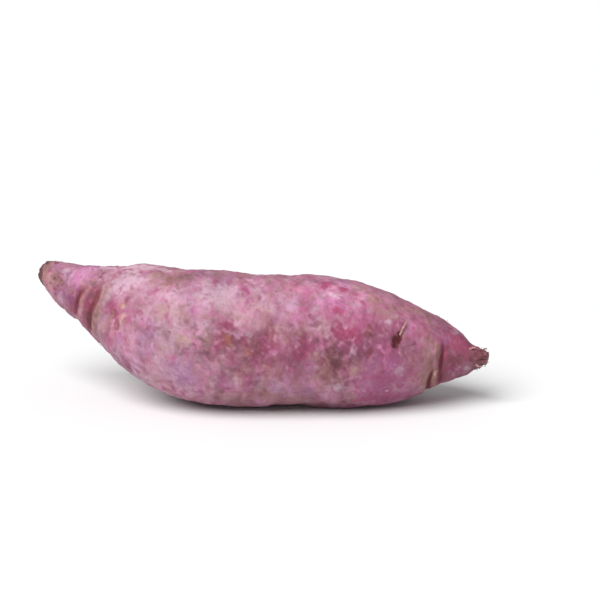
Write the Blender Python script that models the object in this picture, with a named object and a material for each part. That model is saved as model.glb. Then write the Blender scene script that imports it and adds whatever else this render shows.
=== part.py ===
"""A whole purple sweet potato, lying on the small flat spot under its middle.

The root grew as one piece, so it is one solid. Its skin is a formula of two numbers: the station
x along the length and the angle round the root's own bent centre line. The formula adds up the
plain swelling body, broad swells and hollows, the creases that pinch both ends, and the pits
that side roots grow from. The short side roots themselves are tapered tubes, rooted well under
the skin and joined to it.

+X runs from the crown, where the root hung from its vine, to the tail. +Y is the back and +Z is
up. The origin is on the table, under the middle of the root's box. The stations below are
measured from a point that is a few millimetres from it, and the finished root is slid over.
"""

import math
from collections import namedtuple

import bmesh
import bpy
import numpy as np
from mathutils import Matrix

MM = 0.001

# The body. Each row is a station x, the centre line's y and z there, and the radius, in mm.
Station = namedtuple("Station", "x y z radius")
BODY = [
    Station(-91.0, 31.2, 47.5, 4.4),
    Station(-85.0, 27.3, 45.8, 7.0),
    Station(-78.0, 23.3, 42.8, 9.8),
    Station(-70.0, 19.0, 40.4, 12.2),
    Station(-60.0, 13.4, 37.6, 16.4),
    Station(-50.0, 8.2, 34.8, 20.6),
    Station(-38.0, 3.4, 30.9, 24.5),
    Station(-24.0, 0.6, 28.5, 26.8),
    Station(-8.0, 0.0, 26.7, 27.0),
    Station(10.0, 0.0, 26.4, 27.0),
    Station(28.0, 0.0, 25.8, 26.3),
    Station(45.0, 0.0, 23.6, 23.4),
    Station(60.0, 0.0, 22.2, 18.6),
    Station(72.0, -0.4, 21.3, 12.7),
    Station(82.0, -1.4, 19.9, 6.4),
    Station(86.0, -2.0, 20.1, 4.0),
    Station(90.2, -2.6, 19.6, 2.4),
]
DEPTH_OVER_HEIGHT = 1.03
FLAT_CUT = 1.2  # how much lower the root sits than its rounded underside would

# Both ends, as (distance in from the end, share of the radius there).
CROWN_END = [(1.0, 0.0), (0.9, 0.45), (0.3, 0.78), (0.0, 0.9), (0.3, 0.98), (1.2, 1.0)]
TAIL_END = [(1.2, 1.0), (0.5, 0.9), (0.1, 0.6), (0.0, 0.0)]

# Angles round the centre line are in degrees: 0 is the back, 90 the top, 180 the front and 270
# the underside.
Swell = namedtuple("Swell", "x around length width height")
SWELLS = [
    Swell(-50, 95, 15, 22, 0.9),  # the shoulder behind the neck
    Swell(-32, 90, 8, 18, -0.6),  # a saddle between the shoulder and the body
    Swell(13, 247, 13, 12, -1.5),  # the waist low on the front
    Swell(-5, 200, 26, 16, 0.5),
    Swell(38, 205, 18, 15, 0.6),
    Swell(20, 20, 24, 18, -0.8),
    Swell(-20, 330, 20, 18, 0.7),
    Swell(44, 40, 16, 14, 0.8),
    Swell(60, 320, 14, 12, -0.5),
    Swell(69.4, 211, 1.7, 3.2, 0.8),  # a lump between the two creases of the tail
    Swell(-60.0, 240, 3.5, 8.0, -0.6),
]

# A crease pinches the skin along part of a ring. It runs from angle start, where it is at x0, to
# angle end, where it is at x1, and its middle is off that straight line by bow.
Crease = namedtuple("Crease", "start end x0 x1 bow depth half_width")
CREASES = [
    Crease(200, 330, -77.0, -78.5, 0.6, 0.30, 0.90),
    Crease(132, 222, -68.5, -70.6, 0.3, 0.85, 0.90),
    Crease(118, 139, -63.8, -69.2, 0.0, 0.35, 1.10),
    Crease(125, 230, -62.4, -63.3, 1.4, 1.25, 1.15),
    Crease(90, 129, -56.0, -62.5, 1.9, 0.30, 1.50),
    Crease(285, 440, -69.0, -65.0, 0.8, 0.55, 0.90),
    Crease(150, 215, -50.5, -50.0, -1.6, 0.35, 0.90),
    Crease(300, 400, -58.0, -56.0, -0.9, 0.45, 1.10),
    Crease(178, 268, 69.0, 66.5, -1.1, 1.00, 0.85),
    Crease(134, 248, 71.0, 72.2, 0.0, 1.15, 1.05),
    Crease(300, 420, 68.6, 67.4, 0.7, 0.50, 0.90),
    Crease(230, 350, 78.0, 78.6, 0.5, 0.35, 0.70),
]
CREASE_FADE = 30  # degrees over which a crease runs out at each end
RIDGE_SHARE = 0.3  # of a crease's depth, as the roll of skin beside it

# Pits, where side roots left the skin: half the length along x, half the height round the root,
# and the depth.
Pit = namedtuple("Pit", "x around length height depth")
PITS = [
    Pit(51.2, 155, 2.1, 3.0, 1.3),
    Pit(52.6, 148, 1.4, 2.6, 1.0),
    Pit(-83.0, 160, 1.1, 1.3, 0.5),
    Pit(-80.0, 195, 1.1, 1.3, 0.5),
    Pit(-14.0, 212, 1.8, 2.1, 0.4),
    Pit(34.0, 226, 2.0, 2.3, 0.5),
    Pit(-44.0, 40, 1.8, 2.5, 0.9),
    Pit(-12.0, 15, 1.9, 2.8, 0.9),
    Pit(24.0, 48, 1.8, 2.5, 0.8),
    Pit(56.0, 350, 1.6, 2.3, 0.9),
    Pit(0.0, 318, 2.0, 2.6, 0.8),
    Pit(40.0, 300, 1.8, 2.2, 0.7),
    Pit(-34.0, 300, 1.8, 2.5, 0.9),
]

# Side roots: where each leaves the skin, how far it runs along x and turns round the centre line,
# how high its tip stands off the skin, and its radius at the skin.
SideRoot = namedtuple("SideRoot", "x around run turn height radius")
SIDE_ROOTS = [
    SideRoot(52.2, 149, 3.0, -17, 1.2, 0.60),
    SideRoot(68.9, 193, 0.8, 8, 1.0, 0.80),
    SideRoot(82.5, 128, 3.0, -12, 1.1, 0.55),
    SideRoot(85.0, 205, 2.6, 16, 1.3, 0.55),
    SideRoot(87.0, 60, 1.8, -20, 1.6, 0.50),
    SideRoot(-44.0, 40, 2.0, 9, 1.8, 0.60),
    SideRoot(24.0, 48, -3.0, 8, 1.7, 0.60),
    SideRoot(56.0, 350, 3.0, 12, 1.8, 0.55),
    SideRoot(-34.0, 300, 2.0, 8, 1.3, 0.60),
]
ROOT_DEPTH = 1.4  # how deep a side root starts under the skin
ROOT_RINGS = 6
ROOT_SIDES = 6
ROOT_TAPER = 0.45  # the end's radius over the start's

# How finely the skin is divided.
STATIONS = 74
SIDES = 58

SKIN_COLOUR = (0.45, 0.19, 0.28, 1.0)  # dusty purple pink
SKIN_ROUGHNESS = 0.62


def spline(knots, values):
    """Returns a function for the value and the slope of the natural cubic through the values."""
    knots, values = np.array(knots, float), np.array(values, float)
    gap, rise = np.diff(knots), np.diff(values)
    matrix, pull = np.eye(len(knots)), np.zeros(len(knots))
    for i in range(1, len(knots) - 1):
        matrix[i, i - 1 : i + 2] = gap[i - 1], 2 * (gap[i - 1] + gap[i]), gap[i]
        pull[i] = 6 * (rise[i] / gap[i] - rise[i - 1] / gap[i - 1])
    bend = np.linalg.solve(matrix, pull)

    def at(x):
        i = np.clip(np.searchsorted(knots, x) - 1, 0, len(gap) - 1)
        width, before, after = gap[i], x - knots[i], knots[i + 1] - x
        value = (
            (bend[i] * after**3 + bend[i + 1] * before**3) / (6 * width)
            + (values[i] / width - bend[i] * width / 6) * after
            + (values[i + 1] / width - bend[i + 1] * width / 6) * before
        )
        slope = (
            (bend[i + 1] * before**2 - bend[i] * after**2) / (2 * width)
            + rise[i] / width
            - (bend[i + 1] - bend[i]) * width / 6
        )
        return value, slope

    return at


CENTRE_Y, CENTRE_Z, RADIUS = (
    spline([row.x for row in BODY], [getattr(row, name) for row in BODY])
    for name in ("y", "z", "radius")
)


def unit(vector):
    """The vector or vectors at length 1."""
    return vector / np.linalg.norm(vector, axis=-1, keepdims=True)


def frame_at(x):
    """The centre line's point, and the sideways and upward directions square to it, at x in mm."""
    y, y_slope = CENTRE_Y(x)
    z, z_slope = CENTRE_Z(x)
    centre = np.stack([x, y, z - FLAT_CUT], axis=-1)
    along = unit(np.stack([np.ones_like(x), y_slope, z_slope], axis=-1))
    side = unit(np.stack([-along[..., 1], along[..., 0], np.zeros_like(x)], axis=-1))
    return centre, side, np.cross(along, side)


def turn_between(around, middle):
    """The signed angle from middle to around, in degrees, taken the short way."""
    return (around - middle + 180) % 360 - 180


def swells(x, around, radius):
    """Broad bumps and hollows, each a bell over the skin."""
    total = 0
    for row in SWELLS:
        along = (x - row.x) / row.length
        across = np.radians(turn_between(around, row.around)) * radius / row.width
        total = total + row.height * np.exp(-(along**2) - across**2)
    return total


def creases(x, around):
    """Pinches along part of a ring, each with a roll of skin on the side of the body."""
    total = 0
    for row in CREASES:
        middle, half = (row.start + row.end) / 2, (row.end - row.start) / 2
        turn = turn_between(around, middle) / half
        shown = np.clip((1 - np.abs(turn)) * half / CREASE_FADE, 0, 1)
        line = (row.x0 + row.x1) / 2 + (row.x1 - row.x0) / 2 * turn + row.bow * (1 - turn**2)
        off = (x - line) / row.half_width
        roll = off - math.copysign(2.4, -row.x0)
        pinch = np.exp(-(off**2)) - RIDGE_SHARE * np.exp(-(roll**2))
        total = total - row.depth * shown * shown * (3 - 2 * shown) * pinch
    return total


def pits(x, around, radius):
    """Oval pits with a low rim."""
    total = 0
    for row in PITS:
        across = np.radians(turn_between(around, row.around)) * radius
        away = np.hypot((x - row.x) / row.length, across / row.height)
        total = total - row.depth * (1 - 0.35 * away**2) * np.exp(-(away**2))
    return total


def skin_radius(x, around):
    """The distance from the centre line to the skin, in mm, at x in mm and around in degrees."""
    radius = RADIUS(x)[0]
    angle = np.radians(around)
    oval = 0.012 * np.cos(2 * angle + 0.030 * x) + 0.010 * np.cos(3 * angle - 0.024 * x + 1.0)
    size = radius * (1 + oval)
    # The swells, creases and pits die away on the thin ends.
    relief = np.clip((radius - 2) / 6, 0, 1)
    return size + relief * (swells(x, around, radius) + creases(x, around) + pits(x, around, radius))


def skin_point(x, around, share=1.0, lift=0.0):
    """Points of the skin in mm. share draws them in to the centre line, and lift raises them."""
    x, around = np.broadcast_arrays(np.asarray(x, float), np.asarray(around, float))
    centre, side, up = frame_at(x)
    angle = np.radians(around)[..., None]
    reach = (skin_radius(x, around) * share + lift)[..., None]
    point = centre + reach * (np.cos(angle) * side * DEPTH_OVER_HEIGHT + np.sin(angle) * up)
    point[..., 2] = np.maximum(point[..., 2], 0)
    return point


def station_list():
    """The stations along the root, with the share of the radius at each, closer together where
    the creases are."""
    first, last = BODY[0].x, BODY[-1].x
    fine = np.linspace(first + CROWN_END[-1][0], last - TAIL_END[0][0], 2000)
    crowding = 1 + 1.7 * np.exp(-(((fine + 66) / 9) ** 2)) + 1.7 * np.exp(-(((fine - 69) / 6) ** 2))
    reached = np.concatenate([[0], np.cumsum((crowding[1:] + crowding[:-1]) / 2)])
    body = np.interp(np.linspace(0, reached[-1], STATIONS), reached, fine)
    x = [first + d for d, _ in CROWN_END] + list(body[1:-1]) + [last - d for d, _ in TAIL_END]
    share = [s for _, s in CROWN_END] + [1.0] * (STATIONS - 2) + [s for _, s in TAIL_END]
    return np.array(x), np.array(share)


def mesh_object(name, mesh_builder, material):
    """A new object from a finished bmesh, shaded smooth."""
    mesh = bpy.data.meshes.new(name)
    bmesh.ops.recalc_face_normals(mesh_builder, faces=mesh_builder.faces)
    mesh_builder.to_mesh(mesh)
    mesh_builder.free()
    mesh.shade_smooth()
    mesh.materials.append(material)
    made = bpy.data.objects.new(name, mesh)
    bpy.context.scene.collection.objects.link(made)
    return made


def skin_rings(builder, rings):
    """Joins rings of points into a closed skin. The first and the last ring are single points."""
    loops = [[builder.verts.new(tuple(p * MM)) for p in ring] for ring in rings]
    for a, b in zip(loops, loops[1:]):
        count = max(len(a), len(b))
        for j in range(count):
            k = (j + 1) % count
            corners = [a[j % len(a)], a[k % len(a)], b[k % len(b)], b[j % len(b)]]
            builder.faces.new(list(dict.fromkeys(corners)))


def tuber(material):
    """The root's whole skin."""
    x, share = station_list()
    around = np.arange(SIDES) * 360 / SIDES
    grid = skin_point(x[:, None], around[None, :], share[:, None])
    rings = [grid[0][:1], *grid[1:-1], grid[-1][:1]]
    builder = bmesh.new()
    skin_rings(builder, rings)
    return mesh_object("tuber", builder, material)


def side_root(number, row, material):
    """A tapered tube that rises out of the skin and leans over along it."""
    step = np.linspace(0, 1, ROOT_RINGS)
    x = row.x + row.run * step
    around = row.around + row.turn * step
    height = np.where(step > 0, row.height * np.sin(step * math.pi / 2), -ROOT_DEPTH)
    path = skin_point(x, around, 1.0, height)
    ahead = unit(np.gradient(path, axis=0))
    out = path[-1] - frame_at(x[-1:])[0][0]
    wide = unit(np.cross(out, path[-1] - path[0]))
    tall = unit(np.cross(ahead, wide))
    radius = row.radius * (1 - (1 - ROOT_TAPER) * step)
    angles = np.arange(ROOT_SIDES) * 2 * math.pi / ROOT_SIDES
    rings = [path[:1]]
    for p, t, r in zip(path, tall, radius):
        rings.append([p + r * (math.cos(a) * wide + math.sin(a) * t) for a in angles])
    rings.append(path[-1:] + ahead[-1:] * radius[-1] * 0.6)
    builder = bmesh.new()
    skin_rings(builder, rings)
    return mesh_object(f"side_root_{number}", builder, material)


def join(body, pieces):
    """Makes the pieces one solid with the body."""
    group = bpy.data.collections.new("side_roots")
    bpy.context.scene.collection.children.link(group)
    for piece in pieces:
        bpy.context.scene.collection.objects.unlink(piece)
        group.objects.link(piece)
    union = body.modifiers.new("side_roots", "BOOLEAN")
    union.operation = "UNION"
    union.operand_type = "COLLECTION"
    union.collection = group
    with bpy.context.temp_override(object=body, active_object=body):
        bpy.ops.object.modifier_apply(modifier=union.name)
    for piece in pieces:
        bpy.data.objects.remove(piece)
    bpy.data.collections.remove(group)


def centre_on_origin(body):
    """Slides the root along the table until the origin is under the middle of its box."""
    corners = np.array(body.bound_box)
    middle = (corners.min(axis=0) + corners.max(axis=0)) / 2
    body.data.transform(Matrix.Translation((-middle[0], -middle[1], 0.0)))


def skin_material():
    """The skin's plain colour."""
    material = bpy.data.materials.new("sweet_potato_skin")
    material.use_nodes = True
    shader = material.node_tree.nodes["Principled BSDF"]
    shader.inputs["Base Color"].default_value = SKIN_COLOUR
    shader.inputs["Roughness"].default_value = SKIN_ROUGHNESS
    shader.inputs["Metallic"].default_value = 0.0
    material.diffuse_color = SKIN_COLOUR
    return material


def main():
    for old in list(bpy.data.objects):
        bpy.data.objects.remove(old)
    material = skin_material()
    body = tuber(material)
    join(body, [side_root(n, row, material) for n, row in enumerate(SIDE_ROOTS)])
    centre_on_origin(body)


main()
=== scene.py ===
"""The looks of a whole purple sweet potato: its skin, its marks, its side roots and hair roots.

The skin is one closed surface, a formula of the station x along the root and the angle round its
bent centre line. The formula adds to the plain root what a hand and an eye find on a real one:
ripples, grain, wrinkles, corky pores, split creases, a woody crown and a frayed tail. Masks for
the bloom, the blushes, the corky patches and the stains, and for painted light and painted shade,
come from the same two numbers and ride on the mesh as attributes, and the skin's material breaks
them up and paints them. The side roots and the finer hair roots are tapered tubes, in a piece of
their own.

Lengths here are in mm until a mesh is made. Angles round the centre line are in degrees: 0 is the
back, 90 the top, 180 the front and 270 the underside.
"""

import math
from collections import namedtuple

import bpy
import numpy as np
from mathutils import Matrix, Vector


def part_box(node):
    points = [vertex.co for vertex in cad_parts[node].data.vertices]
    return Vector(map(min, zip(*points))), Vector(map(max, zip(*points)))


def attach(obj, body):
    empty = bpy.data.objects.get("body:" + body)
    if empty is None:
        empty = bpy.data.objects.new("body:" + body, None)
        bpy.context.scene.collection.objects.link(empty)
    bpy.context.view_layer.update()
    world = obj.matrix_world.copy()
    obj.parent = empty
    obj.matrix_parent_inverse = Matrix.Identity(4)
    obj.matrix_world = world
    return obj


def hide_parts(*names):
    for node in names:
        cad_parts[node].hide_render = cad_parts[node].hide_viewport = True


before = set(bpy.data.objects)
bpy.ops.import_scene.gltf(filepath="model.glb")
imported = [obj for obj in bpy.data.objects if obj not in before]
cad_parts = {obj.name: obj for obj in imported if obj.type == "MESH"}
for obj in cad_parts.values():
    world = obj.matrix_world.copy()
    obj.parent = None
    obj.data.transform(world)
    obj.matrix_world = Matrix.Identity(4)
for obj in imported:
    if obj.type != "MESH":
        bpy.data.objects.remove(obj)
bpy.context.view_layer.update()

MM = 0.001

# The body. Each row is a station x, the centre line's y and z there, and the radius.
Station = namedtuple("Station", "x y z radius")
BODY = [
    Station(-91.0, 31.2, 47.5, 4.4),
    Station(-85.0, 27.3, 45.8, 7.0),
    Station(-78.0, 23.3, 42.8, 9.8),
    Station(-70.0, 19.0, 40.4, 12.2),
    Station(-60.0, 13.4, 37.6, 16.4),
    Station(-50.0, 8.2, 34.8, 20.6),
    Station(-38.0, 3.4, 30.9, 24.5),
    Station(-24.0, 0.6, 28.5, 26.8),
    Station(-8.0, 0.0, 26.7, 27.0),
    Station(10.0, 0.0, 26.4, 27.0),
    Station(28.0, 0.0, 25.8, 26.3),
    Station(45.0, 0.0, 23.6, 23.4),
    Station(60.0, 0.0, 22.2, 18.6),
    Station(72.0, -0.4, 21.3, 12.7),
    Station(82.0, -1.4, 19.9, 6.4),
    Station(86.0, -2.0, 20.1, 4.0),
    Station(90.2, -2.6, 19.6, 2.4),
]
DEPTH_OVER_HEIGHT = 1.03
OVAL = 0.012  # how oval and how three-sided the section is, as shares of the radius
LOBED = 0.010
FLAT_CUT = 1.2  # how much lower the root sits than its rounded underside would

# Both ends, as (distance in from the end, share of the radius there).
CROWN_END = [(1.0, 0.0), (0.9, 0.45), (0.3, 0.78), (0.0, 0.9), (0.3, 0.98), (1.2, 1.0)]
TAIL_END = [(1.2, 1.0), (0.5, 0.9), (0.1, 0.6), (0.0, 0.0)]

# Broad bumps, and hollows where the height is below 0. The length is along the root, the width
# is round it.
Swell = namedtuple("Swell", "x around length width height")
SWELLS = [
    Swell(-50, 95, 15, 22, 0.9),
    Swell(-32, 90, 8, 18, -0.6),
    Swell(13, 247, 13, 12, -1.5),
    Swell(-5, 200, 26, 16, 0.5),
    Swell(38, 205, 18, 15, 0.6),
    Swell(20, 20, 24, 18, -0.8),
    Swell(-20, 330, 20, 18, 0.7),
    Swell(44, 40, 16, 14, 0.8),
    Swell(60, 320, 14, 12, -0.5),
    Swell(69.4, 211, 1.7, 3.2, 0.8),
    Swell(-60.0, 240, 3.5, 8.0, -0.6),
]

# A crease runs from angle start, where it is at x0, to angle end, where it is at x1, and its middle
# is off that straight line by bow.
Crease = namedtuple("Crease", "start end x0 x1 bow depth half_width")
CREASES = [
    Crease(200, 330, -77.0, -78.5, 0.6, 0.30, 0.90),
    Crease(132, 222, -68.5, -70.6, 0.3, 0.85, 0.90),
    Crease(118, 139, -63.8, -69.2, 0.0, 0.35, 1.10),
    Crease(125, 230, -62.4, -63.3, 1.4, 1.25, 1.15),
    Crease(90, 129, -56.0, -62.5, 1.9, 0.30, 1.50),
    Crease(285, 440, -69.0, -65.0, 0.8, 0.55, 0.90),
    Crease(150, 215, -50.5, -50.0, -1.6, 0.35, 0.90),
    Crease(300, 400, -58.0, -56.0, -0.9, 0.45, 1.10),
    Crease(178, 268, 69.0, 66.5, -1.1, 1.00, 0.85),
    Crease(134, 248, 71.0, 72.2, 0.0, 1.15, 1.05),
    Crease(300, 420, 68.6, 67.4, 0.7, 0.50, 0.90),
    Crease(230, 350, 78.0, 78.6, 0.5, 0.35, 0.70),
]
CREASE_FADE = 30  # degrees over which a crease's shape runs out at each end
STAIN_FADE = 24  # degrees over which its dark colour does
# The roll of skin beside a crease and the slit in its middle: their height and depth as shares
# of the crease's depth, and their places and widths in the crease's half widths.
ROLL_SHARE = 0.3
ROLL_AWAY = 2.4
SLIT_SHARE = 0.25
SLIT_WIDTH = 0.4
STAIN_OUTWARD = 3.6  # how far the stain reaches towards the near end of the root
STAIN_BODYWARD = 1.2
PALE_ROLL_AWAY = 2.5  # the pale colour on the roll
PALE_ROLL_WIDTH = 1.1

# The length is half of it along the root, the height half of it round the root.
Pit = namedtuple("Pit", "x around length height depth")
PITS = [
    Pit(51.2, 155, 2.1, 3.0, 1.3),
    Pit(52.6, 148, 1.4, 2.6, 1.0),
    Pit(-83.0, 160, 1.1, 1.3, 0.5),
    Pit(-80.0, 195, 1.1, 1.3, 0.5),
    Pit(-14.0, 212, 1.8, 2.1, 0.4),
    Pit(34.0, 226, 2.0, 2.3, 0.5),
    Pit(-44.0, 40, 1.8, 2.5, 0.9),
    Pit(-12.0, 15, 1.9, 2.8, 0.9),
    Pit(24.0, 48, 1.8, 2.5, 0.8),
    Pit(56.0, 350, 1.6, 2.3, 0.9),
    Pit(0.0, 318, 2.0, 2.6, 0.8),
    Pit(40.0, 300, 1.8, 2.2, 0.7),
    Pit(-34.0, 300, 1.8, 2.5, 0.9),
]

# A side root starts at x and around. It runs along the root by run and turns round it by turn
# while it climbs to height.
SideRoot = namedtuple("SideRoot", "x around run turn height radius")
SIDE_ROOTS = [
    SideRoot(52.2, 149, 3.0, -17, 1.2, 0.60),
    SideRoot(68.9, 193, 0.8, 8, 1.0, 0.80),
    SideRoot(82.5, 128, 3.0, -12, 1.1, 0.55),
    SideRoot(85.0, 205, 2.6, 16, 1.3, 0.55),
    SideRoot(87.0, 60, 1.8, -20, 1.6, 0.50),
    SideRoot(-44.0, 40, 2.0, 9, 1.8, 0.60),
    SideRoot(24.0, 48, -3.0, 8, 1.7, 0.60),
    SideRoot(56.0, 350, 3.0, 12, 1.8, 0.55),
    SideRoot(-34.0, 300, 2.0, 8, 1.3, 0.60),
]

# Where the woody crown, its dark rim, the tail's tint and its torn end start, and the length
# over which each comes in.
CROWN_START = -86.0
CROWN_FADE = 2.5
RIM_START = -87.9
RIM_FADE = 0.8
TAIL_START = 76.0
TAIL_FADE = 9.0
TORN_START = 84.5
TORN_FADE = 4.0
RIM_SLANT = 0.9  # how much wider and narrower the rim gets round the root
RIM_WIDEST = 200  # the angle where it is widest
RIM_WORN = 2.2  # how much of its width is worn away, at and about an angle, in degrees
RIM_WORN_AT = 138
RIM_WORN_REACH = 20

# Marks on the side that shows: half the length is along the root, half the height round it.
Mark = namedtuple("Mark", "x around length height strength")
# Pale bloom, with painted light: the marks along the top edge are a painted rim highlight and one under
# the lower left is painted bounce light.
BLOOM_AND_PAINTED_LIGHT_FRONT = [
    Mark(-12, 134, 14, 6, 0.34),
    Mark(-4, 148, 5, 4, 0.32),
    Mark(-36, 146, 6, 6, 0.30),
    Mark(-33, 206, 7, 9, 0.35),
    Mark(-54, 180, 3, 5, 0.34),
    Mark(-78, 199, 2, 2.4, 0.5),
    Mark(-81, 121, 1.2, 1.6, 0.8),
    Mark(-77, 134, 0.9, 3.8, 0.5),
    Mark(-57, 148, 1.4, 4, 0.6),
    # These four, along the top edge, are a painted rim highlight.
    Mark(-52, 92, 5, 2.2, 0.9),
    Mark(-45.5, 93, 3, 1.8, 0.9),
    Mark(-57, 94, 2.6, 1.8, 0.9),
    Mark(-66, 93, 3.4, 1.2, 0.8),
    Mark(-56, 198, 0.9, 7.4, 0.5),
    Mark(-37, 141, 5, 5, 0.4),
    # Painted bounce light under the lower left.
    Mark(-33, 205, 6, 6, 0.4),
    Mark(-54, 121, 5, 6, 0.85),
    Mark(-25, 111, 2.6, 5, 0.5),
    Mark(-20, 125, 5, 5.5, 0.85),
    Mark(-6, 158, 1.5, 1.2, 0.6),
    Mark(26, 120, 2.6, 1.4, 0.8),
    Mark(47, 136, 1.6, 1.9, 0.7),
    Mark(30.5, 205, 2.2, 2.1, 0.8),
    Mark(54, 186, 2, 2.3, 0.6),
    Mark(82, 207, 1.4, 2.1, 0.7),
    Mark(-1.5, 208, 1, 1.7, 0.5),
    Mark(-31, 156, 0.8, 0.7, 1),
    Mark(50, 212, 0.5, 0.6, 1),
    Mark(53, 166, 0.6, 0.6, 1),
    Mark(-64.5, 126, 1, 0.5, 1),
]
CREAM_FRONT = [
    Mark(89.7, 184, 0.5, 1.1, 0.8),
    Mark(88.6, 122, 0.6, 0.7, 0.6),
    Mark(69.3, 196, 1.1, 1, 0.9),
    Mark(-49.8, 154, 0.8, 1.4, 0.8),
    Mark(-48.4, 163, 0.7, 1.6, 0.8),
    Mark(-36, 147, 2.8, 3.2, 0.5),
    Mark(-28, 168, 2.6, 2.7, 0.8),
    Mark(-32.5, 178, 1.2, 0.9, 0.6),
    Mark(20.5, 174, 0.8, 0.7, 0.8),
    Mark(3, 138, 2.4, 0.9, 0.7),
    Mark(36, 186, 2, 2.6, 0.6),
    Mark(-20, 147, 2, 1.6, 0.3),
]
TAN_FRONT = [
    Mark(-12, 134, 14, 6, 0.34),
    Mark(-4, 148, 5, 4, 0.34),
    Mark(-36, 146, 6, 6, 0.32),
    Mark(-33, 206, 7, 9, 0.30),
    Mark(-54, 180, 3, 5, 0.34),
    Mark(-70.5, 138, 0.7, 1.6, 0.7),
    Mark(-66.2, 134, 1.2, 1.8, 0.7),
    Mark(-60.6, 170, 0.5, 5, 0.6),
    Mark(-87, 160, 0.8, 4.1, 0.9),
    Mark(-85, 172, 0.6, 1.1, 0.8),
    Mark(-82, 166, 2.4, 2.9, 0.6),
    Mark(-74, 166, 1.2, 1.3, 0.6),
    Mark(-67.7, 145, 0.8, 1.4, 0.7),
    Mark(-67.7, 168, 1, 1.9, 0.7),
    Mark(-47.5, 168, 0.9, 1.5, 0.8),
    Mark(-53, 179, 0.7, 3.7, 0.7),
    Mark(-12, 170, 1.3, 1.5, 0.7),
    Mark(20.5, 177, 1.4, 1.6, 0.6),
    Mark(8, 212, 4, 3.9, 0.3),
    Mark(24.6, 188, 0.8, 2.2, 0.7),
    Mark(37.5, 190, 0.8, 1.8, 0.7),
    Mark(22, 156, 3.6, 3, 0.4),
    Mark(66, 182, 2.8, 12, 0.7),
    Mark(67.6, 160, 1, 4, 0.7),
    Mark(68.5, 204, 1.2, 1.8, 0.8),
    Mark(89.5, 207, 0.8, 1.6, 0.8),
    Mark(-21, 164, 2.8, 4.4, 0.4),
]
RUST_FRONT = [
    Mark(-14, 163, 1.3, 2, 0.8),
    Mark(-5.6, 173, 1.8, 1.3, 0.8),
    Mark(-68.6, 148, 0.8, 2.6, 0.4),
    Mark(-61.4, 136, 0.9, 3.6, 0.4),
    Mark(-50.6, 156, 0.8, 1.6, 0.7),
    Mark(-11, 175, 0.9, 0.7, 0.5),
]
# Olive patches: the marks on the top edge are tan patches made darker as painted cast shadow.
OLIVE_AND_PAINTED_SHADOW_FRONT = [
    Mark(-32.4, 102, 2.4, 2.4, 0.6),
    Mark(-41, 107, 8, 4.9, 0.6),
    Mark(58, 104, 9, 2.5, 0.6),
]
ORCHID_FRONT = [
    Mark(72.4, 135, 1.3, 2.8, 1),
    Mark(44, 206, 5, 7, 0.7),
    Mark(43, 184, 4.5, 5, 0.6),
    Mark(-73, 122, 4.5, 6.5, 0.9),
    Mark(-84, 118, 2, 2.5, 0.6),
    Mark(-79, 190, 1.5, 2, 0.4),
    Mark(25, 124, 7.5, 5, 0.6),
    Mark(50, 186, 5.5, 6, 0.7),
    Mark(18, 184, 4, 4, 0.5),
]
ROSE_FRONT = [
    Mark(46, 178, 6, 8, 0.3),
    Mark(57, 176, 5, 8, 0.3),
    Mark(-7.7, 163, 2, 2, 0.7),
    Mark(-63.6, 163, 1.6, 5, 0.9),
    Mark(29, 111, 1.6, 1.6, 1),
    Mark(80, 124, 7, 5.5, 1),
    Mark(49, 196, 7, 9, 0.5),
    Mark(45, 216, 7, 5, 0.6),
    Mark(-3.5, 172, 3, 3, 0.4),
    Mark(75.5, 192, 3.6, 1.6, 0.7),
    Mark(-86, 146, 0.8, 1.3, 0.9),
    Mark(-63.2, 150, 1.6, 2.2, 0.9),
    Mark(-53, 158, 1.6, 2.1, 0.8),
    Mark(-50.5, 130, 1.8, 1.4, 0.6),
    Mark(-44, 154, 1.7, 1.5, 0.7),
    Mark(-38, 164, 1.6, 2.2, 0.5),
    Mark(-37.5, 197, 1.6, 3.7, 0.4),
    Mark(-14, 152, 3.6, 2.3, 0.8),
    Mark(-17, 165, 1.8, 3.6, 0.6),
    Mark(1, 164, 4.8, 4.8, 0.6),
    Mark(15, 170, 4, 5.6, 0.7),
    Mark(23, 106, 2.2, 3.7, 0.8),
    Mark(28, 136, 1.7, 2.2, 0.8),
    Mark(32.5, 114, 1.4, 2.7, 0.5),
    Mark(36, 122, 1.2, 1.2, 0.8),
    Mark(31, 155, 5, 3, 1),
    Mark(35.7, 159, 1.5, 2.3, 0.8),
    Mark(72.2, 162, 0.9, 3.2, 0.9),
    Mark(79, 147, 3, 2.8, 0.8),
]
CRIMSON_FRONT = [
    Mark(79.5, 145, 4, 4, 0.8),
    Mark(72.2, 135, 1, 2.2, 0.5),
    Mark(77, 131, 5, 3.8, 0.8),
    Mark(81, 136, 3, 2.6, 0.7),
    Mark(73, 166, 1, 3, 0.7),
    Mark(-63, 149, 1.2, 2.8, 0.9),
    Mark(-50, 166, 1.4, 2, 0.6),
]
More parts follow.
